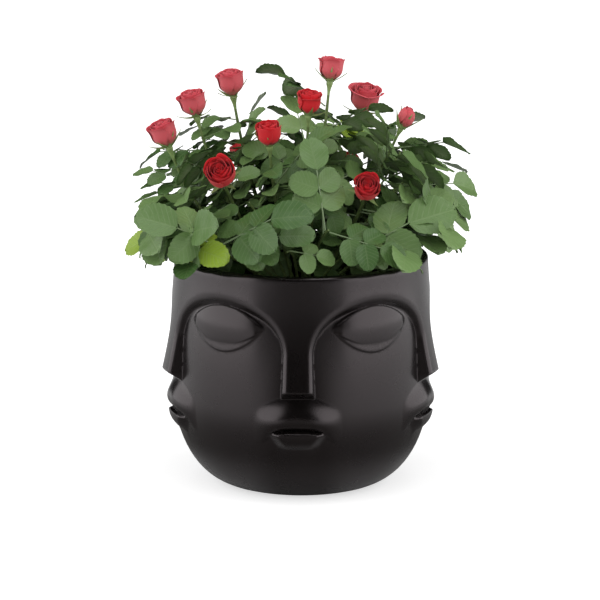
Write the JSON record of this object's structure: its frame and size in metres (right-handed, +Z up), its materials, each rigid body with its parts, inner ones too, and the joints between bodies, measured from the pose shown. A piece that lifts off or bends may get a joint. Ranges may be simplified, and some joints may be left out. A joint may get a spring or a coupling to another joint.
{
  "type": "head planter",
  "caption": "Round ceramic planter with a frieze of calm closed-eyed faces, holding a lift-out liner with a miniature rose bush.",
  "frame": {"origin": "Middle of the flat foot, on the surface that the pot stands on.", "axes": "+Z up along the pot's axis. One face looks along -Y."},
  "size_m": [0.246, 0.217, 0.3144],
  "materials": {
    "matt_black_ceramic": "matt",
    "grey_silicone": "satin",
    "black_nursery_plastic": "matt",
    "potting_soil": "rough",
    "green_cane": "satin",
    "rose_leaf": "satin",
    "red_petal": "velvety",
    "dusty_pink_petal": "velvety"
  },
  "bodies": {
    "planter": {"ceramic_pot": "matt_black_ceramic"},
    "plug": {"drain_plug": "grey_silicone"},
    "liner": {"grow_pot": "black_nursery_plastic", "leafy_shoots_01": "green_cane", "leafy_shoots_02": "green_cane", "leafy_shoots_03": "green_cane", "leafy_shoots_04": "green_cane", "leafy_shoots_05": "green_cane", "leafy_shoots_06": "green_cane", "leafy_shoots_07": "green_cane", "leafy_shoots_08": "green_cane", "leafy_shoots_09": "green_cane", "potting_soil": "potting_soil", "rose_bloom_01": "dusty_pink_petal", "rose_bloom_02": "dusty_pink_petal", "rose_bloom_03": "dusty_pink_petal", "rose_bloom_04": "dusty_pink_petal", "rose_bloom_05": "red_petal", "rose_bloom_06": "red_petal", "rose_bloom_07": "red_petal", "rose_bloom_08": "dusty_pink_petal", "rose_bloom_09": "red_petal", "rose_bloom_10": "dusty_pink_petal", "rose_bloom_11": "red_petal", "rose_bloom_12": "red_petal", "rose_cane_01": "green_cane", "rose_cane_02": "green_cane", "rose_cane_03": "green_cane", "rose_cane_04": "green_cane", "rose_cane_05": "green_cane", "rose_cane_06": "green_cane", "rose_cane_07": "green_cane", "rose_cane_08": "green_cane", "rose_cane_09": "green_cane", "rose_cane_10": "green_cane", "rose_cane_11": "green_cane", "rose_cane_12": "green_cane", "rose_foliage_01": "rose_leaf", "rose_foliage_02": "rose_leaf", "rose_foliage_03": "rose_leaf", "rose_foliage_04": "rose_leaf", "rose_foliage_05": "rose_leaf", "rose_foliage_06": "rose_leaf", "rose_foliage_07": "rose_leaf", "rose_foliage_08": "rose_leaf", "rose_foliage_09": "rose_leaf", "rose_foliage_10": "rose_leaf", "rose_foliage_11": "rose_leaf", "rose_foliage_12": "rose_leaf", "shoot_foliage_01": "rose_leaf", "shoot_foliage_02": "rose_leaf", "shoot_foliage_03": "rose_leaf", "shoot_foliage_04": "rose_leaf", "shoot_foliage_05": "rose_leaf", "shoot_foliage_06": "rose_leaf", "shoot_foliage_07": "rose_leaf", "shoot_foliage_08": "rose_leaf", "shoot_foliage_09": "rose_leaf"}
  },
  "joints": [
    {"name": "liner_lift", "type": "slide", "parent": "planter", "child": "liner", "axis": [0, 0, 1], "range_m": [0, 0.17]},
    {"name": "plug_pull", "type": "slide", "parent": "planter", "child": "plug", "axis": [0, 0, 1], "range_m": [0, 0.005]}
  ]
}
